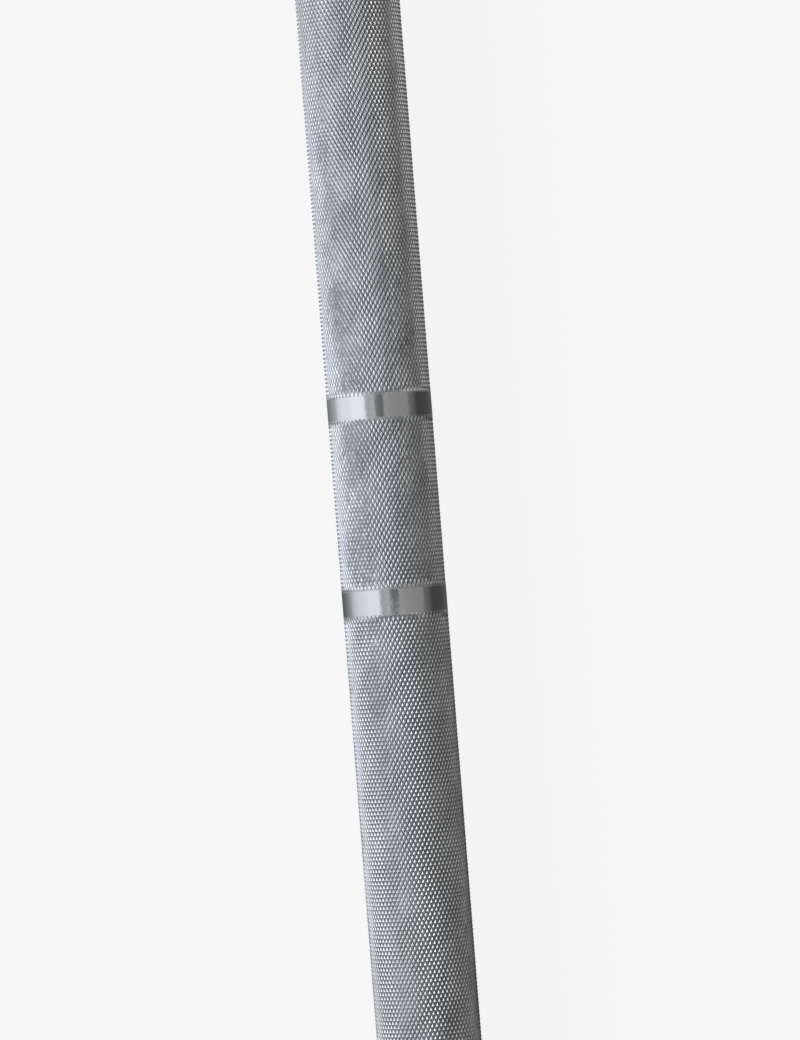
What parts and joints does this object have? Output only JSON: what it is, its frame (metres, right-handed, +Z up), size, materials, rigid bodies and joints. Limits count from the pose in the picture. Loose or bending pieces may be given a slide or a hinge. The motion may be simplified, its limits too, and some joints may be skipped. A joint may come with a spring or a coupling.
{
  "type": "barbell",
  "caption": "Straight steel barbell with knurled grip zones, smooth ring marks, stop collars and long sleeves that turn freely on the shaft.",
  "frame": {"origin": "on the surface that the bar lies on, below the middle of the shaft", "axes": "+X along the bar towards its right end, +Z up"},
  "size_m": [2.2, 0.078, 0.078],
  "materials": {
    "shaft_steel": "knurled and bright, slightly worn",
    "sleeve_chrome": "turned and plated",
    "collar_chrome": "turned and plated",
    "bearing_bronze": "machined",
    "seal_rubber": "moulded",
    "washer_steel": "ground",
    "spring_steel": "black oxide",
    "cap_aluminium": "turned"
  },
  "bodies": {
    "shaft": {"shaft": "shaft_steel", "left_inner_thrust_washer": "bearing_bronze", "left_outer_thrust_washer": "bearing_bronze", "left_backing_washer": "washer_steel", "left_shaft_snap_ring": "spring_steel", "right_inner_thrust_washer": "bearing_bronze", "right_outer_thrust_washer": "bearing_bronze", "right_backing_washer": "washer_steel", "right_shaft_snap_ring": "spring_steel"},
    "left_sleeve": {"left_sleeve": "sleeve_chrome", "left_collar": "collar_chrome", "left_dust_seal": "seal_rubber", "left_inner_bushing": "bearing_bronze", "left_outer_bushing": "bearing_bronze", "left_end_cap": "cap_aluminium", "left_end_cap_snap_ring": "spring_steel"},
    "right_sleeve": {"right_sleeve": "sleeve_chrome", "right_collar": "collar_chrome", "right_dust_seal": "seal_rubber", "right_inner_bushing": "bearing_bronze", "right_outer_bushing": "bearing_bronze", "right_end_cap": "cap_aluminium", "right_end_cap_snap_ring": "spring_steel"}
  },
  "joints": [
    {"name": "left_sleeve_spin", "type": "hinge", "parent": "shaft", "child": "left_sleeve", "pos_m": [-0.655, 0, 0.039], "axis": [1, 0, 0], "continuous": true},
    {"name": "right_sleeve_spin", "type": "hinge", "parent": "shaft", "child": "right_sleeve", "pos_m": [0.655, 0, 0.039], "axis": [1, 0, 0], "continuous": true}
  ]
}
